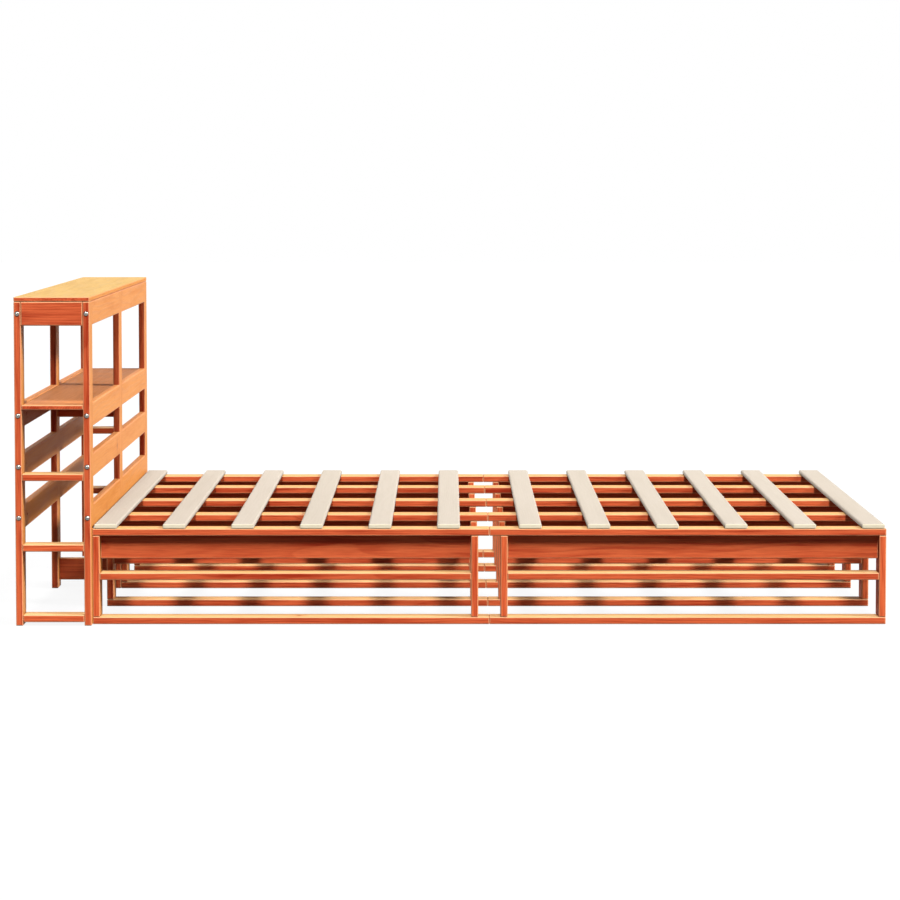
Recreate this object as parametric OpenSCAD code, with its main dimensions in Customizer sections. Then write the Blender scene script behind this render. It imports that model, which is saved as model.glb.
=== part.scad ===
// Low pine bed frame: two ladder-built halves, loose slats on top and an open shelf headboard.
// Units are millimetres, +X runs from the head to the foot, +Z is up, and the origin is the
// middle of the footprint on the floor.

/* [Bed] */
// Length of the bed itself, without the headboard
bed_length = 2000; // [1900:10:2200]
// Width of the bed across its outer ladders
bed_width = 1400; // [1200:10:1800]
// Height of the upper faces of the top rails
rail_top = 242; // [220:1:300]
// Distance from an outer ladder to the one beside it
ladder_step = 321.5; // [250:0.5:380]
// Distance of the inner posts from the joint between the halves
inner_inset = 28; // [15:1:60]
// Height of the lower face of the middle rails
mid_rail_bottom = 112; // [70:1:125]

/* [Stock] */
// Thickness of all frame stock
stock_t = 18; // [16:1:24]
// Width of all frame stock
stock_w = 60; // [55:1:70]
// Radius that eases the edges of the stock
edge_r = 2.5; // [1:0.1:4]

/* [Slats] */
// Number of slats on each half
slat_count = 6; // [4:1:6]
// Width of a slat
slat_w = 58; // [45:1:70]
// Thickness of a slat
slat_t = 12; // [11:0.5:18]
// Distance of the outer slats from the ends of the bed
slat_margin = 4; // [0:1:20]
// Distance of the inner slats from the joint between the halves
slat_to_joint = 74; // [40:1:100]
// Radius of the rounded long edges of a slat
slat_edge_r = 5; // [1:0.25:5]

/* [Headboard] */
// Depth of the headboard from the wall to the bed
head_depth = 190; // [160:1:260]
// How far the headboard stands out past the bed on each side
head_overhang = 27; // [0:1:40]
// Height of the headboard with its top panel
head_height = 827; // [800:1:1000]
// Thickness of the top panel
panel_t = 12; // [12:1:20]
// Thickness of the shelf boards
shelf_t = 12; // [12:0.5:18]
// Height of the upper face of the shelf
shelf_top = 556; // [550:1:600]
// Height of the lower face of the lowest cross boards
cross_bottom = 242; // [235:1:245]
// Rise from one cross board to the next, up to the shelf
cross_pitch = 128.5; // [125:0.5:131]
// Height of the lower face of the lowest side rails
side_rail_bottom = 9; // [2:1:20]
// Rise from one side rail to the next
side_rail_pitch = 178; // [165:1:178]
// Height of the lower face of the low board in the middle frame
low_board_bottom = 21; // [5:1:60]
// Height of the lower face of the board below the shelf in the middle frame
stretcher_bottom = 469; // [400:1:475]

/* [Fasteners] */
// Diameter of the wooden dowels
dowel_d = 6; // [5:0.5:7]
// Length of the wooden dowels
dowel_length = 30; // [26:1:32]
// Distance between the two dowels of a joint
dowel_pitch = 30; // [26:1:34]
// Diameter of the headboard bolts
bolt_d = 6; // [5:0.5:7]
// How far a headboard bolt reaches past the middle of its barrel nut
bolt_past_nut = 10; // [6:1:20]
// Diameter of the dome heads
dome_d = 13; // [11:0.5:15]
// Height of the dome heads
dome_h = 4; // [3:0.5:5]
// Width of the hexagon socket in a dome head, from corner to corner
socket_d = 4.6; // [3:0.1:5]
// Diameter of the barrel nuts
nut_d = 10; // [9:0.5:12]
// Distance of a barrel nut from the end of its board
nut_inset = 30; // [22:1:32]
// Diameter of the wood screws
screw_d = 4; // [3:0.5:5]
// Diameter of the countersunk screw heads
screw_head_d = 9; // [7:0.5:10]
// How far the screws of the middle rails go into the rails
rail_screw_bite = 32; // [20:1:40]
// How far the screws of the headboard go into the posts of the bed
head_screw_bite = 14; // [10:1:14]
// Height of the lower screws that join the headboard to the bed
head_screw_low = 65; // [50:1:90]
// Height of the upper screws that join the headboard to the bed
head_screw_high = 150; // [145:1:165]
// How far the slat screws go into the slats
slat_screw_bite = 8; // [6:0.5:9]

/* [Hidden] */
// Gap around a dowel, a screw and a bolt in their bores
bore_fit = 0.1;
// Gap left at each end of a dowel
dowel_end_gap = 1;
// How far a bore starts outside the face that it opens on
bore_over = 1;
// Wood left between the bore of a barrel nut and the outer face of its board
nut_cover = 2;
// Flats that make up an eased edge
edge_steps = 3;
// Facets of round pieces
$fn = 32;

PINE = "#d8703f";
SLAT_WOOD = "#e9dcc6";
BEECH = "#e0c394";
STEEL = "#c9cacd";

ladders = 5;

// Places along the length
half_length = bed_length / 2;
rear_x = -(head_depth + bed_length) / 2;
head_x = rear_x + head_depth;
joint_x = head_x + half_length;
// Places across the width
head_width = bed_width + 2 * head_overhang;
ladder_y = let (out = (bed_width - stock_w) / 2)
    [-out, ladder_step - out, 0, out - ladder_step, out];
frame_y = [-(head_width - stock_w) / 2, 0, (head_width - stock_w) / 2];
// Heights in the bed
top_rail_bottom = rail_top - stock_t;
board_bottom = top_rail_bottom - stock_w;
// Heights in the headboard
post_top = head_height - panel_t;
shelf_bottom = shelf_top - shelf_t;
cross_z = [for (i = [0:2]) cross_bottom + i * cross_pitch, post_top - stock_w];
side_rail_z = [for (i = [0:2]) side_rail_bottom + i * side_rail_pitch];
// How far a dowel goes into the face of a member and into a thin panel
face_bite = stock_t * 2 / 3;
panel_bite = panel_t * 2 / 3;
half_pitch = dowel_pitch / 2;
// Places of the ladder posts and slats along one half, from its outer end
post_u = [0, half_length - inner_inset - stock_t];
slat_u = let (first = slat_margin + slat_w / 2, last = half_length - slat_to_joint - slat_w / 2)
    [for (i = [0:slat_count - 1]) first + (last - first) * i / (slat_count - 1)];
// Screws that stand beside a board on edge are this far from its middle
beside_board = stock_w / 3;
// Dowels of the shelf boards are this far from the joint between them
beside_shelf_joint = stock_w / 5;
// Dowels of the top panel are this far inwards, past the dowels of the boards below
panel_dowel_shift = stock_w / 6;
// Depths and lengths of the fasteners
bolt_length = stock_w + nut_inset + bolt_past_nut;
nut_depth = stock_t - nut_cover;
nut_length = nut_depth - nut_cover;
screw_head_h = (screw_head_d - screw_d) / 2;
rail_screw_length = stock_t + rail_screw_bite;
head_screw_length = stock_t + head_screw_bite;
slat_screw_length = stock_t + slat_screw_bite;

// Outline of a rectangle with eased corners
function eased(w, h, r) = [
    for (c = [0:3])
    for (s = [0:edge_steps])
    let (a = 90 * (c + s / edge_steps))
    let (x = c == 0 || c == 3 ? w - r : r)
    let (y = c < 2 ? h - r : r)
    [x + r * cos(a), y + r * sin(a)]
];

// A straight bar between two corners, with every edge eased; r holds the radii along X, Y and Z
module bar(low, high, r = [edge_r, edge_r, edge_r]) {
    size = high - low;
    translate(low)
        intersection() {
            linear_extrude(size.z)
                polygon(eased(size.x, size.y, r.z));
            rotate([90, 0, 90])
                linear_extrude(size.x)
                    polygon(eased(size.y, size.z, r.x));
            translate([0, size.y, 0])
                rotate([90, 0, 0])
                    linear_extrude(size.y)
                        polygon(eased(size.x, size.z, r.y));
        }
}

// Turns the Z axis to the direction given
module towards(axis) {
    rotate([0, acos(axis.z), atan2(axis.y, axis.x)])
        children();
}

// A dowel joint: the point where it crosses the joint, its direction into the end grain, and
// its depth in the face of the other member
function dowel_at(p, axis, bite = face_bite) = [[p, axis, bite]];
function dowel_pair(p, axis, spread, bite = face_bite) =
    [for (s = [-1, 1]) [p + s * spread, axis, bite]];

module dowel(d) {
    translate(d[0] - d[2] * d[1])
        towards(d[1])
            cylinder(d = dowel_d, h = dowel_length);
}

module dowel_bore(d) {
    translate(d[0] - (d[2] + dowel_end_gap) * d[1])
        towards(d[1])
            cylinder(d = dowel_d + 2 * bore_fit, h = dowel_length + 2 * dowel_end_gap);
}

// A countersunk screw: the middle of its head's face, its direction and its length; its bore is
// the same shape with some room
module screw(p, axis, length, room = 0) {
    head_r = screw_head_d / 2 + room;
    shank_r = screw_d / 2 + room;
    end = length + room;
    translate(p)
        towards(axis)
            rotate_extrude()
                polygon([[0, 0], [head_r, 0], [shank_r, screw_head_h], [shank_r, end], [0, end]]);
}

module screw_bore(p, axis, length) {
    screw(p, axis, length, bore_fit);
}

// Takes the dowel bores out of a member
module drilled(dowels) {
    difference() {
        children();
        for (d = dowels)
            dowel_bore(d);
    }
}

// Puts a half of the bed in place: 0 is the head half, 1 the foot half turned end for end
module in_half(h) {
    translate([joint_x, 0, 0])
        mirror([h, 0, 0])
            translate([-half_length, 0, 0])
                children();
}

// Joints of one ladder, along a half from its outer end, with the ladder's middle at y
function rail_joint_dowels(y) = [
    for (u = post_u)
    for (end = [[stock_t, 1], [top_rail_bottom, -1]])
    each dowel_pair([u + stock_t / 2, y, end[0]], [0, 0, end[1]], [0, half_pitch, 0])
];
function board_joint_dowels(y) = [
    for (end = [[stock_t, 1], [post_u[1], -1]])
    each dowel_pair([end[0], y, board_bottom + stock_w / 2], [end[1], 0, 0], [0, 0, half_pitch])
];
function half_joint_dowels(y) = [
    for (z = [stock_t / 2, rail_top - stock_t / 2])
    each dowel_pair([half_length, y, z], [1, 0, 0], [0, half_pitch, 0], dowel_length / 2)
];

// The screws that hold the middle rail of a ladder, through both posts
module each_rail_screw(y) {
    z = mid_rail_bottom + stock_t / 2;
    for (end = [[0, 1], [post_u[1] + stock_t, -1]])
        translate([end[0], y, z])
            mirror([end[1] < 0 ? 1 : 0, 0, 0])
                children();
}

// The three flat rails of a ladder: bottom, middle and top
module ladder_rails(h, i) {
    y = ladder_y[i - 1];
    low_y = y - stock_w / 2;
    high_y = y + stock_w / 2;
    color(PINE)
        in_half(h)
            difference() {
                drilled(concat(rail_joint_dowels(y), half_joint_dowels(y))) {
                    bar([0, low_y, 0], [half_length, high_y, stock_t]);
                    bar([stock_t, low_y, mid_rail_bottom],
                        [post_u[1], high_y, mid_rail_bottom + stock_t]);
                    bar([0, low_y, top_rail_bottom], [half_length, high_y, rail_top]);
                }
                each_rail_screw(y)
                    screw_bore([0, 0, 0], [1, 0, 0], rail_screw_length);
                for (u = slat_u)
                    screw_bore([u, y + beside_board, top_rail_bottom], [0, 0, 1], slat_screw_length);
            }
}

// The two posts of a ladder, flush with its outer end and set back from its inner end
module ladder_posts(h, i) {
    y = ladder_y[i - 1];
    color(PINE)
        in_half(h)
            difference() {
                drilled(concat(rail_joint_dowels(y), board_joint_dowels(y)))
                    for (u = post_u)
                        bar([u, y - stock_w / 2, stock_t], [u + stock_t, y + stock_w / 2, top_rail_bottom]);
                each_rail_screw(y)
                    screw_bore([0, 0, 0], [1, 0, 0], rail_screw_length);
                if (h == 0)
                    translate([-head_x, 0, 0])
                        head_screw_bores();
            }
}

// The boards that stand on edge under the top rails of a half
module ladder_boards(h) {
    color(PINE)
        in_half(h)
            for (y = ladder_y)
                drilled(board_joint_dowels(y))
                    bar([stock_t, y - stock_t / 2, board_bottom],
                        [post_u[1], y + stock_t / 2, top_rail_bottom]);
}

// One slat with well rounded long edges, lying across all the ladders
module slat(h, i) {
    u = slat_u[i - 1];
    color(SLAT_WOOD)
        in_half(h)
            difference() {
                bar([u - slat_w / 2, -bed_width / 2, rail_top],
                    [u + slat_w / 2, bed_width / 2, rail_top + slat_t],
                    [edge_r, slat_edge_r, edge_r]);
                for (y = ladder_y)
                    screw_bore([u, y + beside_board, top_rail_bottom], [0, 0, 1], slat_screw_length);
            }
}

// Joints of the headboard; the near frame is 0, the middle one 1 and the far one 2
post_x = [rear_x + stock_t / 2, head_x - stock_t / 2];
inner_x = [rear_x + stock_t, head_x - stock_t];
side_rail_dowels = [
    for (f = [0, 2])
    for (z = side_rail_z)
    for (s = [0, 1])
    each dowel_pair([inner_x[s], frame_y[f], z + stock_t / 2], [1 - 2 * s, 0, 0], [0, half_pitch, 0])
];
side_board_y = [for (s = [-1, 1]) s * (head_width - stock_t) / 2];
side_board_dowels = [
    for (y = side_board_y)
    for (s = [0, 1])
    each dowel_pair([inner_x[s], y, post_top - stock_w / 2], [1 - 2 * s, 0, 0], [0, 0, half_pitch])
];
middle_board_z = [low_board_bottom, stretcher_bottom, post_top - stock_w];
middle_board_dowels = [
    for (z = middle_board_z)
    for (s = [0, 1])
    each dowel_pair([inner_x[s], 0, z + stock_w / 2], [1 - 2 * s, 0, 0], [0, 0, half_pitch])
];
cross_board_dowels = [
    for (x = post_x)
    for (z = cross_z)
    for (s = [-1, 1])
    each dowel_pair([x, s * stock_w / 2, z + stock_w / 2], [0, s, 0], [0, 0, half_pitch])
];
shelf_dowels = [
    for (s = [0, 1])
    for (y = [frame_y[0], -beside_shelf_joint, beside_shelf_joint, frame_y[2]])
    each dowel_at([inner_x[s], y, shelf_top - shelf_t / 2], [1 - 2 * s, 0, 0])
];
panel_dowels = [
    for (x = post_x)
    for (y = frame_y)
    each dowel_at([x, y - (y > 0 ? 1 : -1) * panel_dowel_shift, post_top], [0, 0, -1], panel_bite)
];

// A bolt through an outer post into the end of each cross board: post, level and side
module each_bolt() {
    for (x = post_x)
        for (z = cross_z)
            for (s = [0, 1])
                translate([x, (s - 0.5) * head_width, z + stock_w / 2])
                    mirror([0, s, 0])
                        children();
}

module bolt() {
    translate([0, dome_h, 0])
        rotate([-90, 0, 0])
            translate([0, 0, -dome_h])
                cylinder(d = bolt_d, h = bolt_length);
    rotate([90, 0, 0])
        difference() {
            intersection() {
                cylinder(d = dome_d, h = dome_h);
                translate([0, 0, dome_h - dome_radius])
                    sphere(r = dome_radius, $fn = 48);
            }
            translate([0, 0, dome_h / 2])
                cylinder(d = socket_d, h = dome_h, $fn = 6);
        }
}
dome_radius = (dome_h * dome_h + dome_d * dome_d / 4) / (2 * dome_h);

module bolt_bore() {
    translate([0, -bore_over, 0])
        rotate([-90, 0, 0])
            cylinder(d = bolt_d + 2 * bore_fit, h = bolt_length + 2 * bore_over);
}

// The barrel nuts go in from the inner face of each board
module each_nut() {
    for (s = [0, 1])
        for (z = cross_z)
            for (e = [-1, 1])
                translate([inner_x[s], e * (head_width / 2 - stock_w - nut_inset), z + stock_w / 2])
                    mirror([s == 0 ? 0 : 1, 0, 0])
                        rotate([0, -90, 0])
                            children();
}

module nut_bore() {
    translate([0, 0, -bore_over])
        cylinder(d = nut_d + 2 * bore_fit, h = nut_depth + bore_over);
}

// Screws from the front posts of the headboard into the outer posts of the bed
head_screw_y = let (lap = (ladder_y[4] + frame_y[2]) / 2) [-lap, beside_board, lap];
module each_head_screw() {
    for (y = head_screw_y)
        for (z = [head_screw_low, head_screw_high])
            translate([inner_x[1], y, z])
                children();
}
module head_screw_bores() {
    each_head_screw()
        screw_bore([0, 0, 0], [1, 0, 0], head_screw_length);
}

// A headboard post: frame 0, 1 or 2, and side 0 at the rear or 1 at the front
module head_post(f, s) {
    x = rear_x + s * (head_depth - stock_t);
    y = frame_y[f];
    near = function (d) abs(d[0].y - y) < stock_w && abs(d[0].x - x) < 2 * stock_t;
    every = concat(side_rail_dowels, side_board_dowels, middle_board_dowels,
        cross_board_dowels, shelf_dowels, panel_dowels);
    color(PINE)
        difference() {
            drilled([for (d = every) if (near(d)) d])
                bar([x, y - stock_w / 2, 0], [x + stock_t, y + stock_w / 2, post_top]);
            if (f != 1)
                each_bolt()
                    bolt_bore();
            if (s == 1)
                head_screw_bores();
        }
}

// The short flat rails between the posts of an outer frame
module side_rails(f) {
    y = frame_y[f];
    color(PINE)
        drilled([for (d = side_rail_dowels) if (abs(d[0].y - y) < stock_w) d])
            for (z = side_rail_z)
                bar([inner_x[0], y - stock_w / 2, z], [inner_x[1], y + stock_w / 2, z + stock_t]);
}

// The boards flush with the outer faces at the top of both outer frames
module side_boards() {
    color(PINE)
        drilled(side_board_dowels)
            for (y = side_board_y)
                bar([inner_x[0], y - stock_t / 2, post_top - stock_w],
                    [inner_x[1], y + stock_t / 2, post_top]);
}

// The three boards on edge in the middle frame: low, under the shelf and under the panel
module middle_frame_boards() {
    color(PINE)
        drilled(middle_board_dowels)
            for (z = middle_board_z)
                bar([inner_x[0], -stock_t / 2, z], [inner_x[1], stock_t / 2, z + stock_w]);
}

// The two cross boards of one level, on the rear (0) or the front (1)
module cross_boards(s, level) {
    z = cross_z[level - 1];
    x = post_x[s];
    long = frame_y[2] - stock_w / 2;
    mine = [for (d = cross_board_dowels) if (d[0].x == x && abs(d[0].z - z) < stock_w) d];
    color(PINE)
        difference() {
            drilled(mine)
                for (e = [-1, 1])
                    bar([x - stock_t / 2, min(e * long, e * stock_w / 2), z],
                        [x + stock_t / 2, max(e * long, e * stock_w / 2), z + stock_w]);
            intersection() {
                translate([x - stock_t, -head_width, z])
                    cube([2 * stock_t, 2 * head_width, stock_w]);
                union() {
                    each_bolt()
                        bolt_bore();
                    each_nut()
                        nut_bore();
                }
            }
        }
}

// One of the two shelf boards, which meet over the middle frame: -1 near, 1 far
module shelf_board(e) {
    color(PINE)
        drilled([for (d = shelf_dowels) if (d[0].y * e > 0) d])
            bar([inner_x[0], min(0, e * head_width / 2), shelf_bottom],
                [inner_x[1], max(0, e * head_width / 2), shelf_top]);
}

module top_panel() {
    color(PINE)
        drilled(panel_dowels)
            bar([rear_x, -head_width / 2, post_top], [head_x, head_width / 2, head_height]);
}

module headboard_bolts() {
    color(STEEL)
        each_bolt()
            bolt();
}

module barrel_nuts() {
    color(STEEL)
        each_nut()
            difference() {
                translate([0, 0, (stock_t - nut_length) / 2])
                    cylinder(d = nut_d, h = nut_length);
                translate([0, 0, stock_t / 2])
                    rotate([90, 0, 0])
                        cylinder(d = bolt_d + 2 * bore_fit, h = 2 * nut_d, center = true);
            }
}

// Every wooden dowel of the bed and the headboard
module dowels() {
    color(BEECH) {
        for (h = [0, 1])
            in_half(h)
                for (y = ladder_y)
                    for (d = concat(rail_joint_dowels(y), board_joint_dowels(y)))
                        dowel(d);
        in_half(0)
            for (y = ladder_y)
                for (d = half_joint_dowels(y))
                    dowel(d);
        for (d = concat(side_rail_dowels, side_board_dowels, middle_board_dowels))
            dowel(d);
        for (d = concat(cross_board_dowels, shelf_dowels, panel_dowels))
            dowel(d);
    }
}

// The screws that hold the slats, driven up through the top rails
module slat_screws() {
    color(STEEL)
        for (h = [0, 1])
            in_half(h)
                for (u = slat_u)
                    for (y = ladder_y)
                        screw([u, y + beside_board, top_rail_bottom], [0, 0, 1], slat_screw_length);
}

// The screws of the middle rails, and those between the headboard and the bed
module frame_screws() {
    color(STEEL) {
        for (h = [0, 1])
            in_half(h)
                for (y = ladder_y)
                    each_rail_screw(y)
                        screw([0, 0, 0], [1, 0, 0], rail_screw_length);
        each_head_screw()
            screw([0, 0, 0], [1, 0, 0], head_screw_length);
    }
}

for (i = [1:ladders]) {
    ladder_rails(0, i);
    ladder_rails(1, i);
    ladder_posts(0, i);
    ladder_posts(1, i);
}
ladder_boards(0);  // head_boards
ladder_boards(1);  // foot_boards
for (i = [1:slat_count]) {
    slat(0, i);
    slat(1, i);
}
head_post(0, 0);  // near_rear_post
head_post(1, 0);  // middle_rear_post
head_post(2, 0);  // far_rear_post
head_post(0, 1);  // near_front_post
head_post(1, 1);  // middle_front_post
head_post(2, 1);  // far_front_post
side_rails(0);  // near_side_rails
side_rails(2);  // far_side_rails
side_boards();
middle_frame_boards();
for (i = [1:4]) {
    cross_boards(0, i);
    cross_boards(1, i);
}
shelf_board(-1);  // near_shelf_board
shelf_board(1);  // far_shelf_board
top_panel();
headboard_bolts();
barrel_nuts();
dowels();
slat_screws();
frame_screws();
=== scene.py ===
# %% [markdown]
# # A pine bed frame in a plain studio
#
# The bed frame arrives as finished solids: rails, posts, boards, slats and fasteners, each in its
# own node and at its real size. What is left to do here is what a photographer and a finisher do:
# set up a camera, a floor and some lamps, and give every piece the surface of the real one.
# The first three lines below load the solids, and nothing in this script moves or reshapes them.

# %% Load the bed frame
import math

import bpy
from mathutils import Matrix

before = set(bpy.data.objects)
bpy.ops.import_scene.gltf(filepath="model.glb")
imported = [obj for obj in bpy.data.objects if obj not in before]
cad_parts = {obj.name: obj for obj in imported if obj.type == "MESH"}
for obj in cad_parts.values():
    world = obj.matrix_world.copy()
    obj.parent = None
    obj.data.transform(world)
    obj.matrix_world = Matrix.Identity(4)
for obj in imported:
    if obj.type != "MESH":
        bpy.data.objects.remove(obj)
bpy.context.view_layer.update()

print("nodes:", len(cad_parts))

# %% [markdown]
# ## The camera
#
# The photograph was taken from far away with a long lens, almost square on to the side of the bed,
# and from about the height of a table. Far away matters more than anything else: it is what keeps
# the far ladder nearly as long as the near one. The picture's horizon lies high above the bed, so
# the camera looks down a little, and a small part of the lowering is left to the lens shift, which
# keeps the posts of the headboard nearly upright.

# %% Place the camera
CAMERA_PLACE = (-0.0089, -8.395, 1.140)
LOOKS_DOWN = math.radians(3.512)
LOOKS_RIGHT = math.radians(0.034)
FOCAL_LENGTH = 122.9
SENSOR_WIDTH = 36.0
LENS_SHIFT = -0.10

camera_data = bpy.data.cameras.new("camera")
camera_data.sensor_width = SENSOR_WIDTH
camera_data.lens = FOCAL_LENGTH
camera_data.shift_y = LENS_SHIFT
camera = bpy.data.objects.new("camera", camera_data)
camera.location = CAMERA_PLACE
camera.rotation_euler = (math.pi / 2 - LOOKS_DOWN, 0, -LOOKS_RIGHT)
bpy.context.scene.collection.objects.link(camera)
bpy.context.scene.camera = camera
print("the camera stands", round(-CAMERA_PLACE[1], 2), "m from the middle of the bed")

# %% [markdown]
# ## Writing shader sums as plain sums
#
# A procedural wood needs many small calculations, and each one is a node. Adding and linking them
# by hand hides the idea behind the wiring. The class below wraps one output socket, so that
# `late * 0.4 + streak` adds the two Math nodes by itself. Every other kind of node comes from one
# method, which takes the node's kind, its settings and the values or links of its sockets.

# %% A wire that can be added and multiplied
class Wire:
    """One output of a node; a wire without a socket only starts a new node tree."""

    def __init__(self, tree, socket=None):
        self.tree = tree
        self.socket = socket

    def node(self, kind, settings=None, sockets=None, out=0):
        made = self.tree.nodes.new("ShaderNode" + kind)
        for name, value in (settings or {}).items():
            setattr(made, name, value)
        for key, value in (sockets or {}).items():
            if isinstance(value, Wire):
                self.tree.links.new(value.socket, made.inputs[key])
            else:
                made.inputs[key].default_value = value
        return Wire(self.tree, made.outputs[out])

    def maths(self, operation, first, second=0.0):
        return self.node("Math", {"operation": operation}, {0: first, 1: second})

    def __add__(self, other):
        return self.maths("ADD", self, other)

    def __sub__(self, other):
        return self.maths("SUBTRACT", self, other)

    def __rsub__(self, other):
        return self.maths("SUBTRACT", other, self)

    def __mul__(self, other):
        return self.maths("MULTIPLY", self, other)

    __radd__ = __add__
    __rmul__ = __mul__

    def axes(self):
        """The three numbers of a vector."""
        split = self.node("SeparateXYZ", sockets={0: self}).socket.node
        return [Wire(self.tree, split.outputs[i]) for i in range(3)]


print("methods of a wire:", ", ".join(name for name in vars(Wire) if not name.startswith("_")))

# %% [markdown]
# Colours are written as they look on a screen, from 0 to 255, because that is how a colour is read
# from a photograph. Blender counts light in linear steps, so one helper converts them. Three more
# helpers do what every finish needs: blend two colours by a mask, turn a range of values into a
# soft mask, and read a smooth noise.

# %% Colour and mask helpers
def screen_colour(red, green, blue):
    """A linear colour from screen values of 0 to 255."""
    parts = [value / 255 for value in (red, green, blue)]
    linear = [p / 12.92 if p <= 0.04045 else ((p + 0.055) / 1.055) ** 2.4 for p in parts]
    return (*linear, 1.0)


def blend(mask, without, covered):
    """The first colour where the mask is 0 and the second where it is 1."""
    colours = {0: mask, 6: without, 7: covered}
    return mask.node("Mix", {"data_type": "RGBA"}, colours, out=2)


def soft_step(value, low, high):
    """0 below low, 1 above high, and a smooth rise between them."""
    limits = {"Value": value, "From Min": low, "From Max": high}
    return value.node("MapRange", {"interpolation_type": "SMOOTHSTEP"}, limits)


def noise(vector, detail=2.0, roughness=0.5):
    """A smooth noise round 0.5, with one wave in each unit of the vector."""
    return vector.node("TexNoise", sockets={
        "Vector": vector, "Scale": 1.0, "Detail": detail, "Roughness": roughness})


print("white on the screen is", screen_colour(255, 255, 255)[:3])

# %% [markdown]
# ## The pine
#
# The frame is planed softwood with a warm orange oil on it. Three things make such wood look real:
#
# 1. growth layers, which are thin sheets of dark late wood in the trunk. A board cuts through them,
#    so they show as long lines on the faces and as short arcs on the end grain;
# 2. long darker streaks where the oil went in deeper, and fine fibres that run the same way;
# 3. a difference from one member to the next, because each was cut from another place.
#
# An image of wood would slide round the corners of a member. A pattern worked out in space doesn't:
# it goes through the solid as the real grain does. All lengths in it are in metres.
#
# In the photograph the faces that look up are a pale honey, the faces towards the foot of the bed
# are light orange, and the sides are a deep orange. An even studio light can't make one wood look
# that different, so the finish paints the light in: it knows the three kinds of face by their
# normals, and the tops and the faces towards the foot get paler colours as painted light. It also
# finds the eased edges and gives them painted highlights: they are palest along the tops of the
# rails, and only a little lighter along the upright and lower edges.

# %% Find out which way a face looks
FACES_AN_AXIS = (0.5, 0.95)
SQUARE_TO_AN_AXIS = (0.97, 0.995)
TURNS_UPWARD = (0.4, 0.65)
TURNS_SIDEWAYS = (0.1, 0.5)
LEAVES_THE_SIDES = (0.2, 0.6)


def face_masks(start):
    """Masks of the faces that look up and to +X, of the upper eased edges and of the others."""
    x, y, z = start.node("TexCoord", out="Normal").axes()
    upward = soft_step(z, *FACES_AN_AXIS)
    footward = soft_step(x, *FACES_AN_AXIS)
    sizes = [part.maths("ABSOLUTE", part) for part in (x, y, z)]
    squarest = x.maths("MAXIMUM", sizes[0], sizes[1])
    squarest = x.maths("MAXIMUM", squarest, sizes[2])
    eased = 1.0 - soft_step(squarest, *SQUARE_TO_AN_AXIS)
    # Masks for painted highlights on the eased edges: strongest where an edge turns upward, fainter
    # on the upright and lower edges.
    upper_edge_highlight = eased * soft_step(z, *TURNS_UPWARD) * soft_step(sizes[1], *TURNS_SIDEWAYS)
    other_edge_highlight = eased * (1.0 - soft_step(z, *LEAVES_THE_SIDES))
    return upward, footward, upper_edge_highlight, other_edge_highlight


print("an edge counts as eased while no part of its normal is over", SQUARE_TO_AN_AXIS[1])

# %% [markdown]
# Each member gets numbers of its own. The place of a point is rounded down to a cell that holds
# one whole member, and white noise turns that cell into three random numbers. So one material
# serves all the rails, and still no two rails are alike.

# %% Three random numbers for each member
def member_numbers(place, cell, shift):
    """Random numbers that are the same all over a member, for cells of that size."""
    moved = place.node("VectorMath", {"operation": "ADD"}, {0: place, 1: shift})
    snapped = place.node("VectorMath", {"operation": "SNAP"}, {0: moved, 1: cell})
    return snapped.node("TexWhiteNoise", sockets={"Vector": snapped}, out="Color").axes()


print("a member takes three numbers from the cell that it lies in")

# %% [markdown]
# The grain is worked out once for all woods. Its waves are given as so many in a metre, first along
# the member and then across it: few along and many across make a streak or a fibre. The growth
# layers are planes along the member, tilted by a random angle and bent by a slow noise, which
# gives the pointed arches of a flat-sawn board. A branch leaves a knot: a small ball that turns up
# in few places, with the layers bulging round it.

# %% Sizes in the grain
LAYER = 0.0062
LAYER_BEND = 0.05
BEND_WAVES = (1.3, 8.0)
EARLY_TO_LATE = (0.35, 0.92)
LATE_TO_EARLY = (0.94, 1.0)
STREAK_WAVES = (2.4, 48.0)
STREAK_RANGE = (0.42, 0.70)
PATCH_WAVES = (3.5, 14.0)
FLECK_WAVES = (13.0, 240.0)
FIBRE_WAVES = (22.0, 900.0)
KNOT_CELL = 0.19
KNOT_RADIUS = 0.010
KNOT_HEART = 0.15 * KNOT_RADIUS
KNOT_REACH = 3.2 * KNOT_RADIUS
KNOT_BULGE = 0.012
LOG_LENGTH = 9.0
print("one growth layer is", LAYER * 1000, "mm thick, and a knot", KNOT_RADIUS * 2000, "mm across")

# %% [markdown]
# The member's three random numbers say how far along the log it was cut, how the layers are tilted
# in it, and where the first layer starts. The last one also makes the whole member a little paler
# or deeper further on.

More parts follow.
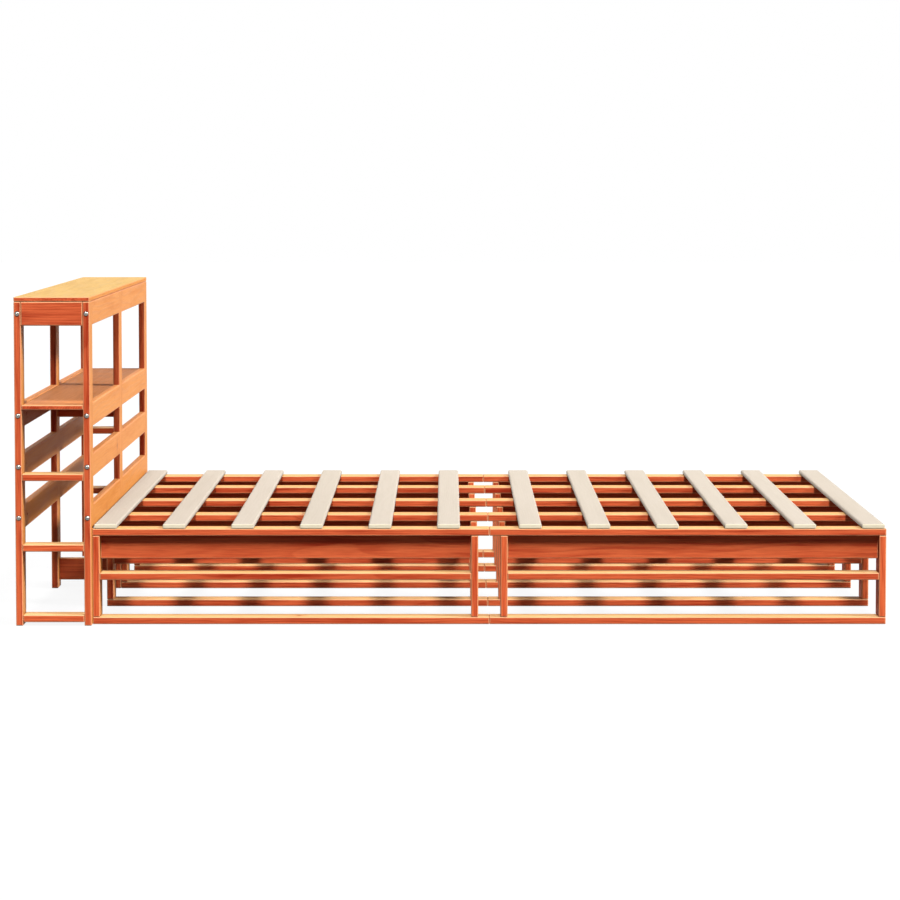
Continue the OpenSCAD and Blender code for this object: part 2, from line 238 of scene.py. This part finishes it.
# %% The grain of a member
def grain(start, direction, cell, shift):
    """Masks of the late wood, the streaks, flecks, patches, fibres and knots, by their names."""
    place = start.node("TexCoord", out="Object")
    cut_at, turned, first_layer = member_numbers(place, cell, shift)
    parts = place.axes()
    first = "XYZ".index(direction)
    along = parts[first] + cut_at * LOG_LENGTH
    side = parts[(first + 1) % 3]
    other = parts[(first + 2) % 3]

    def stretched(lengthwise, across):
        values = {0: along * lengthwise, 1: side * across, 2: other * across}
        return start.node("CombineXYZ", sockets=values)

    knots = start.node("TexVoronoi", sockets={
        "Vector": stretched(1 / KNOT_CELL, 1 / KNOT_CELL), "Scale": 1.0})
    near_knot = 1.0 - soft_step(knots, 0.0, KNOT_REACH / KNOT_CELL)
    knot = 1.0 - soft_step(knots, KNOT_HEART / KNOT_CELL, KNOT_RADIUS / KNOT_CELL)
    tilt = turned * math.tau
    depth = side * start.maths("COSINE", tilt) + other * start.maths("SINE", tilt)
    depth = depth + (noise(stretched(*BEND_WAVES)) - 0.5) * LAYER_BEND + near_knot * KNOT_BULGE
    layers = start.maths("FRACT", depth * (1 / LAYER) + first_layer)
    late = soft_step(layers, *EARLY_TO_LATE) * (1.0 - soft_step(layers, *LATE_TO_EARLY))
    streak = soft_step(noise(stretched(*STREAK_WAVES), 3.0, 0.6), *STREAK_RANGE)
    return {"late": late, "streak": streak, "fleck": noise(stretched(*FLECK_WAVES)),
            "patch": noise(stretched(*PATCH_WAVES), 1.0), "fibre": noise(stretched(*FIBRE_WAVES)),
            "knot": knot, "near_knot": near_knot, "member": first_layer}


def tone_of(start, wood, weights, palest):
    """One number, from 0 for the palest wood to 1 for the deepest, out of weighted masks."""
    tone = sum(wood[name] * weight for name, weight in weights.items()) - palest
    return start.node("Clamp", sockets={"Value": tone})


print("a streak is about", round(1000 / STREAK_WAVES[0]), "by", round(1000 / STREAK_WAVES[1]), "mm")

# %% [markdown]
# The tone of the wood is one number, from pale early wood to deep late wood, and each kind of face
# turns it into its own two colours, a lighter and a deeper one. That keeps the grain running over
# an edge while the colour changes there. How the colours differ from one kind of face to the next
# is painted light and shade.
#
# The sides have three shades, because the photograph shows three: the posts and the flat rails of
# the headboard's outer frames are the brightest, and the wide boards the calmest. The wide boards
# are also painted a little brighter, as painted light, because the rail above keeps the foot lamp
# off them. The tops of the top rails are a deeper honey than those near the floor: the lower tops
# are painted paler, as painted light, because the rails above keep the foot lamp off them.

# %% Colours of the pine
SIDE_COLOURS = (screen_colour(243, 112, 66), screen_colour(182, 55, 27))
# Painted light: the wide boards are painted brighter than the rails, as the rail above keeps the
# foot lamp off them.
BOARD_SIDE_PAINTED_LIGHT_COLOURS = (screen_colour(252, 119, 70), screen_colour(203, 67, 35))
FRAME_SIDE_COLOURS = (screen_colour(255, 120, 70), screen_colour(193, 60, 29))
# Painted light: the tops and the faces towards the foot are paler than the sides.
TOP_COLOURS = (screen_colour(252, 197, 134), screen_colour(238, 176, 110))
# Painted light: the tops of the top rails keep these deeper colours, and the lower tops are painted
# paler.
HIGH_TOP_PAINTED_LIGHT_COLOURS = (screen_colour(240, 180, 112), screen_colour(222, 158, 89))
HIGH_TOP_RISE = (0.18, 0.22)
# Painted shade: the tops of the cross boards lie in the shade of the shelf and the panel above.
BOARD_TOP_PAINTED_SHADE_COLOURS = (screen_colour(255, 170, 102), screen_colour(240, 150, 82))
# Painted shade: the shelf lies in the shade of the panel above.
SHELF_PAINTED_SHADE_COLOURS = (screen_colour(230, 149, 93), screen_colour(214, 134, 81))
PANEL_COLOURS = (screen_colour(211, 170, 103), screen_colour(197, 155, 90))
FOOT_FACE_PAINTED_LIGHT_COLOURS = (screen_colour(255, 168, 88), screen_colour(243, 147, 62))
# Painted highlights for the eased edges.
UPPER_EDGE_HIGHLIGHT_COLOUR = screen_colour(255, 208, 158)
OTHER_EDGE_HIGHLIGHT_COLOUR = screen_colour(255, 175, 125)
KNOT_COLOUR = screen_colour(150, 62, 30)
KNOT_RING_COLOUR = screen_colour(216, 104, 52)
print("a side goes from", [round(part, 2) for part in SIDE_COLOURS[0][:3]],
      "to", [round(part, 2) for part in SIDE_COLOURS[1][:3]])

# %% [markdown]
# Only what changes over a surface is linked: colour, roughness and bump. The rest are plain numbers
# on the shader, because a number that is the same everywhere needs no node. The bump is given in
# metres too, and less than a millimetre is enough for planed wood.

# %% A new finish and its links
BUMP_STRENGTH = 0.6


def new_finish(name, specular):
    """A new material, its shader node and a wire to start from."""
    material = bpy.data.materials.new(name)
    material.use_nodes = True
    shader = material.node_tree.nodes["Principled BSDF"]
    shader.inputs["Specular IOR Level"].default_value = specular
    return material, shader, Wire(material.node_tree)


def link_surface(start, shader, colour, roughness, height, depth):
    """Links the three things that change over a surface."""
    start.tree.links.new(colour.socket, shader.inputs["Base Color"])
    start.tree.links.new(roughness.socket, shader.inputs["Roughness"])
    bump = start.node("Bump", sockets={
        "Height": height, "Strength": BUMP_STRENGTH, "Distance": depth})
    start.tree.links.new(bump.socket, shader.inputs["Normal"])


print("linked over a surface: colour, roughness and bump")

# %% [markdown]
# The pine is laid on from the inside out: the wood's own tone, the painted light and shade of each
# kind of face, the painted highlights along the edges, and the knots last, because a knot stays
# dark whatever is round it. A hard layer of late wood is smoother than the early wood and stands a
# little higher, and a knot lies a little lower.

# %% Make a pine finish
PINE_TONE = {"late": 0.28, "streak": 0.6, "fleck": 1.2, "patch": 0.6, "fibre": 0.25,
             "member": 0.12}
PINE_PALEST = 0.96
PINE_ROUGHNESS = 0.46
PINE_BUMP = 0.0007
EDGE_HIGHLIGHT_STRENGTH = 0.7
RING_STRENGTH = 0.35
KNOT_STRENGTH = 0.7


def pine(name, direction, cell, shift=(0.0, 0.0, 0.0), top=TOP_COLOURS, painted_light_high_top=None,
         sides=SIDE_COLOURS, specular=0.1):
    """Oiled pine with its grain along one axis, for members that lie one to a cell."""
    material, shader, start = new_finish(name, specular)
    wood = grain(start, direction, cell, shift)
    upward, footward, upper_edge_highlight, other_edge_highlight = face_masks(start)
    tone = tone_of(start, wood, PINE_TONE, PINE_PALEST)
    top_colour = blend(tone, *top)
    # Painted light: below the top rails the tops are painted paler.
    if painted_light_high_top:
        height = start.node("TexCoord", out="Object").axes()[2]
        high = soft_step(height, *HIGH_TOP_RISE)
        top_colour = blend(high, top_colour, blend(tone, *painted_light_high_top))
    colour = blend(tone, *sides)
    # Painted light and shade: the faces towards the foot and the tops get their own, paler colours.
    colour = blend(footward, colour, blend(tone, *FOOT_FACE_PAINTED_LIGHT_COLOURS))
    colour = blend(upward, colour, top_colour)
    # Painted highlights along the eased edges.
    colour = blend(upper_edge_highlight * EDGE_HIGHLIGHT_STRENGTH, colour, UPPER_EDGE_HIGHLIGHT_COLOUR)
    colour = blend(other_edge_highlight * EDGE_HIGHLIGHT_STRENGTH, colour, OTHER_EDGE_HIGHLIGHT_COLOUR)
    colour = blend(wood["near_knot"] * RING_STRENGTH, colour, KNOT_RING_COLOUR)
    colour = blend(wood["knot"] * KNOT_STRENGTH, colour, KNOT_COLOUR)
    roughness = PINE_ROUGHNESS + wood["fibre"] * 0.14 - wood["late"] * 0.08
    height = wood["late"] * 0.4 + wood["fibre"] * 0.6 - wood["knot"] * 0.3
    link_surface(start, shader, colour, roughness, height, PINE_BUMP)
    return material


print("masks in the tone of the pine:", ", ".join(PINE_TONE))

# %% [markdown]
# Now the cells. Each group of members needs a cell size that holds one member whole, and a shift
# that keeps the walls of the cells away from the wood. The rails of the ladders lie along the bed,
# the posts stand, and the boards and the shelf of the headboard run across it. A shift by whole
# cells moves no wall. It only picks other random numbers, so it is a way to choose how the members
# of a group look. The shelf and the panel are nearly matt, as flat boards seen at a low angle
# would otherwise mirror the white room.

# %% Finishes of the pine members
LADDER_CELL = 0.335
HALF_LADDER = LADDER_CELL / 2
WHOLE_BED = 9.0
NEARLY_MATT = 0.02
OUTER_FRAME = {"cell": (WHOLE_BED, LADDER_CELL, 0.178), "shift": (0.0, HALF_LADDER, 0.0)}
pine_finishes = {
    "rails": pine("pine_rails", "X", (1.0, LADDER_CELL, 0.1), (-0.095, HALF_LADDER, 0.33),
                  painted_light_high_top=HIGH_TOP_PAINTED_LIGHT_COLOURS),
    "boards": pine("pine_boards", "X", (1.0, LADDER_CELL, WHOLE_BED),
                   (-0.095, HALF_LADDER, 3 * WHOLE_BED), sides=BOARD_SIDE_PAINTED_LIGHT_COLOURS),
    "posts": pine("pine_posts", "Z", (0.074, LADDER_CELL, WHOLE_BED), (-0.021, HALF_LADDER, 0.0),
                  sides=FRAME_SIDE_COLOURS),
    "uprights": pine("pine_uprights", "Z", (0.1, LADDER_CELL, WHOLE_BED),
                     (1.15, HALF_LADDER, 2 * WHOLE_BED)),
    "side_rails": pine("pine_side_rails", "X", **OUTER_FRAME, sides=FRAME_SIDE_COLOURS),
    "short_boards": pine("pine_short_boards", "X", **OUTER_FRAME),
    "across": pine("pine_cross_boards", "Y", (0.1, WHOLE_BED, 0.1285), (1.15, 0.0, -0.21),
                   top=BOARD_TOP_PAINTED_SHADE_COLOURS),
    "shelf": pine("pine_shelf", "Y", (WHOLE_BED, WHOLE_BED, WHOLE_BED), top=SHELF_PAINTED_SHADE_COLOURS,
                  specular=NEARLY_MATT),
    "panel": pine("pine_panel", "Y", (WHOLE_BED, WHOLE_BED, WHOLE_BED),
                  (0.0, WHOLE_BED / 2, 5.0), top=PANEL_COLOURS, specular=NEARLY_MATT),
}
print("pine finishes:", ", ".join(pine_finishes))

# %% [markdown]
# ## The slats
#
# The slats were left raw, so they are almost white, with a faint grain and a few dark specks.
# The same grain is used, with little contrast, and nothing glossy on top. Their ends get less light
# than their tops, so they are painted much paler and a little yellower than the faces, as painted
# light.

# %% Make the slat finish
SLAT_COLOURS = (screen_colour(200, 187, 172), screen_colour(188, 175, 158))
SLAT_END_PAINTED_LIGHT_COLOURS = (screen_colour(253, 239, 210), screen_colour(245, 228, 196))
SLAT_SPECK_COLOUR = screen_colour(186, 150, 116)
SPECK_STRENGTH = 0.5
SLAT_TONE = {"late": 0.12, "streak": 0.25, "fleck": 0.45, "patch": 0.3, "member": 0.3}
SLAT_PALEST = 0.4
SLAT_ROUGHNESS = 0.62
SLAT_BUMP = 0.0006
SLAT_CELL = (0.1728, WHOLE_BED, WHOLE_BED)
SLAT_SHIFT = (0.9584, 4.0, 0.0)


def raw_slat(name):
    """Unfinished softwood across the bed, one slat to a cell."""
    material, shader, start = new_finish(name, specular=0.2)
    wood = grain(start, "Y", SLAT_CELL, SLAT_SHIFT)
    across = start.node("TexCoord", out="Normal").axes()[1]
    end_grain = soft_step(start.maths("ABSOLUTE", across), *FACES_AN_AXIS)
    tone = tone_of(start, wood, SLAT_TONE, SLAT_PALEST)
    # Painted light: the ends are painted paler than the faces.
    colour = blend(end_grain, blend(tone, *SLAT_COLOURS), blend(tone, *SLAT_END_PAINTED_LIGHT_COLOURS))
    colour = blend(wood["knot"] * SPECK_STRENGTH, colour, SLAT_SPECK_COLOUR)
    roughness = SLAT_ROUGHNESS + wood["fibre"] * 0.16
    height = wood["late"] * 0.15 + wood["fibre"] * 0.6
    link_surface(start, shader, colour, roughness, height, SLAT_BUMP)
    return material


slat_finish = raw_slat("raw_slats")
print("one slat to every", SLAT_CELL[0] * 1000, "mm of the bed's length")

# %% [markdown]
# ## Dowels and steel
#
# The dowels are turned beech, which is pale and short in the grain. The bolts, nuts and screws are
# bright steel. Their dome heads are small, so what shows is the highlight, and a fine noise in the
# roughness keeps it from looking like a drop of water. Both need only one noise, some hundred waves
# to a metre, which runs through colour, roughness and bump.

# %% Make the beech and the steel
BEECH_COLOURS = (screen_colour(234, 208, 168), screen_colour(206, 170, 122))
STEEL_COLOURS = (screen_colour(170, 166, 160), screen_colour(118, 114, 108))
BEECH_WAVES = 600.0
STEEL_WAVES = 900.0


def fine_noise(start, waves, detail, roughness=0.5):
    """The same noise in all directions, with so many waves in a metre."""
    place = start.node("TexCoord", out="Object")
    scaled = start.node("VectorMath", {"operation": "SCALE"}, {0: place, "Scale": waves})
    return noise(scaled, detail, roughness)


def beech(name):
    """Plain turned dowel wood."""
    material, shader, start = new_finish(name, specular=0.25)
    fibre = fine_noise(start, BEECH_WAVES, 3.0)
    colour = blend(fibre, *BEECH_COLOURS)
    link_surface(start, shader, colour, 0.55 + fibre * 0.15, fibre, 0.0003)
    return material


def bright_steel(name):
    """Zinc-bright steel with the marks of handling."""
    material, shader, start = new_finish(name, specular=0.5)
    shader.inputs["Metallic"].default_value = 1.0
    marks = fine_noise(start, STEEL_WAVES, 4.0, 0.6)
    colour = blend(marks, *STEEL_COLOURS)
    link_surface(start, shader, colour, 0.16 + marks * 0.16, marks, 0.0001)
    return material


beech_finish = beech("beech")
steel_finish = bright_steel("bright_steel")
print("finishes of the small pieces:", beech_finish.name, "and", steel_finish.name)

# %% [markdown]
# ## Every node gets its finish
#
# A node's name says what it is, so its beginning is enough to choose the finish. The finish goes
# into the slots that the node already has, and the mesh isn't touched.

# %% Hand out the finishes
FINISH_OF = {
    "head_rails": pine_finishes["rails"],
    "foot_rails": pine_finishes["rails"],
    "head_posts": pine_finishes["posts"],
    "foot_posts": pine_finishes["posts"],
    "head_boards": pine_finishes["boards"],
    "foot_boards": pine_finishes["boards"],
    "near_rear": pine_finishes["uprights"],
    "middle_rear": pine_finishes["uprights"],
    "far_rear": pine_finishes["uprights"],
    "near_front": pine_finishes["uprights"],
    "middle_front": pine_finishes["uprights"],
    "far_front": pine_finishes["uprights"],
    "near_side": pine_finishes["side_rails"],
    "far_side": pine_finishes["side_rails"],
    "side_boards": pine_finishes["short_boards"],
    "middle_frame": pine_finishes["short_boards"],
    "front_board": pine_finishes["across"],
    "rear_board": pine_finishes["across"],
    "near_shelf": pine_finishes["shelf"],
    "far_shelf": pine_finishes["shelf"],
    "top_panel": pine_finishes["panel"],
    "head_slat": slat_finish,
    "foot_slat": slat_finish,
    "dowels": beech_finish,
    "headboard_bolts": steel_finish,
    "barrel_nuts": steel_finish,
    "slat_screws": steel_finish,
    "frame_screws": steel_finish,
}

for name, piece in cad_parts.items():
    finish = next(FINISH_OF[kind] for kind in FINISH_OF if name.startswith(kind))
    for slot in piece.material_slots:
        slot.material = finish
print("finished nodes:", len(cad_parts))

# %% [markdown]
# ## The studio
#
# The picture has a plain white ground. The floor and the room look white to the camera and to
# anything that mirrors them, but they light the bed only a little: the room as a pale and slightly
# blue one would, and the floor less, because most of it lies in the bed's own shade. The Light Path
# node tells the two kinds of ray apart.

# %% White to the eye, pale to the bed
WHITE = (1.0, 1.0, 1.0, 1.0)
ROOM_COLOUR = (0.80, 0.95, 1.0, 1.0)
ROOM_LIGHT = 0.18
FLOOR_LIGHT = 0.06


def seen_rays(start):
    """1 for rays from the camera and for mirrored or refracted ones, and 0 for the rest."""
    rays = start.node("LightPath").socket.node
    kinds = ("Is Camera Ray", "Is Glossy Ray", "Is Transmission Ray")
    camera_ray, glossy_ray, passing_ray = [Wire(start.tree, rays.outputs[kind]) for kind in kinds]
    mirrored = start.maths("MAXIMUM", glossy_ray, passing_ray)
    return start.maths("MAXIMUM", camera_ray, mirrored)


print("the room's light on the bed, of 1 for white:", ROOM_LIGHT)

# %% [markdown]
# The floor keeps a faint shadow, so that the bed stands on something: a tenth of its white is matt
# paint that the lamps light, and the rest glows by itself. It shows from above only. Seen from
# below it is clear, so that the undersides of the rails and boards can be looked at too.

# %% Lay the floor
FLOOR_SIZE = 60.0
FLOOR_DROP = 0.0006
GLOWING_PART = 0.90

bpy.ops.object.select_all(action="DESELECT")
bpy.ops.mesh.primitive_plane_add(size=FLOOR_SIZE, location=(0, 0, -FLOOR_DROP))
floor = bpy.context.object
floor.name = "floor"
floor_paint = bpy.data.materials.new("floor_paint")
floor_paint.use_nodes = True
floor_nodes = floor_paint.node_tree.nodes
floor_nodes.remove(floor_nodes["Principled BSDF"])
start = Wire(floor_paint.node_tree)
pale = start.node("Emission", sockets={"Color": ROOM_COLOUR, "Strength": FLOOR_LIGHT})
matt = start.node("BsdfDiffuse", sockets={"Color": WHITE})
glow = start.node("Emission", sockets={"Color": WHITE, "Strength": 1.0})
white_ground = start.node("MixShader", sockets={0: GLOWING_PART, 1: matt, 2: glow})
from_above = start.node("MixShader", sockets={0: seen_rays(start), 1: pale, 2: white_ground})
below = start.node("NewGeometry", out="Backfacing")
clear = start.node("BsdfTransparent")
one_sided = start.node("MixShader", sockets={0: below, 1: from_above, 2: clear})
start.tree.links.new(one_sided.socket, floor_nodes["Material Output"].inputs["Surface"])
floor.data.materials.append(floor_paint)
print("the floor lies", FLOOR_DROP * 1000, "mm under the bed")

# %% [markdown]
# The room needs no walls. The world behind everything is enough, with the same two sides: white
# where it is seen, and the pale blue light of the room where it only lights the wood.

# %% Put the white room round it
world = bpy.data.worlds.new("white_room")
bpy.context.scene.world = world
world.use_nodes = True
world_nodes = world.node_tree.nodes
world_nodes.remove(world_nodes["Background"])
start = Wire(world.node_tree)
room = start.node("Background", sockets={"Color": ROOM_COLOUR, "Strength": ROOM_LIGHT})
backdrop = start.node("Background", sockets={"Color": WHITE, "Strength": 1.0})
white_room = start.node("MixShader", sockets={0: seen_rays(start), 1: room, 2: backdrop})
start.tree.links.new(white_room.socket, world_nodes["World Output"].inputs["Surface"])
print("the world is", world.name)

# %% [markdown]
# ## The lamps
#
# The shadows in the photograph tell where the lamps were. The slats throw theirs down and back on
# the rails, with edges a few centimetres soft, while the shadow under the top rails fades out over
# twice that height. So a tall and narrow lamp hung in front of the bed, and a column of five suns
# stands for it here. The posts of the headboard throw thin shadows over the shelf, away from the
# foot, so a second lamp stood past the foot of the bed and a little in front of it. A wide and dim
# one fills the shades on that side, where the rear boards of the headboard are still a clear brown.
# The last lamp, behind the head, is only there to keep the back readable, and stays out of all
# reflections.
#
# Suns are used and not area lamps, because their light doesn't fade over the length of the bed.
# The light of each one stops at the first surface that it meets. Wood as red as this would throw
# scarlet light into every shade, and in the photograph the shades are a plain brown, so they are
# left to the even light of the room and the floor.

# %% Make a lamp
def sun(name, irradiance, size, height, bearing):
    """A far lamp: its light, and in degrees its size, its height in the sky and its bearing.

    A bearing of 0 is past the foot of the bed, and -90 is where the camera stands."""
    data = bpy.data.lights.new(name, "SUN")
    data.energy = irradiance * math.pi
    data.angle = math.radians(size)
    data.cycles.max_bounces = 0
    lamp = bpy.data.objects.new(name, data)
    lamp.rotation_euler = (0, math.radians(90 - height), math.radians(bearing))
    bpy.context.scene.collection.objects.link(lamp)
    return lamp


print("a white board square to a lamp of 1 renders white")

# %% [markdown]
# Together they light the faces towards the foot about as much as one lamp of 1 would, the tops half
# as much again and the long sides a little less, as in the photograph. So on the whole a colour
# renders about as it is written. The Standard view transform is part of that: the others bend the
# colours to look like film.

# %% Hang the lamps
KEY_HEIGHTS = (46.5, 50, 53.5, 57, 60.5)
lamps = [sun("key_lamp_%d" % (n + 1), 0.178, size=8, height=height, bearing=-89)
         for n, height in enumerate(KEY_HEIGHTS)]
foot_lamp = sun("foot_lamp", 0.85, size=10, height=36, bearing=-16)
fill_lamp = sun("fill_lamp", 0.23, size=90, height=12, bearing=15)
head_lamp = sun("head_lamp", 0.85, size=30, height=3, bearing=135)
head_lamp.visible_glossy = False
lamps += [foot_lamp, fill_lamp, head_lamp]
bpy.context.scene.view_settings.view_transform = "Standard"
print("lamps:", ", ".join(lamp.name for lamp in lamps))

# %% [markdown]
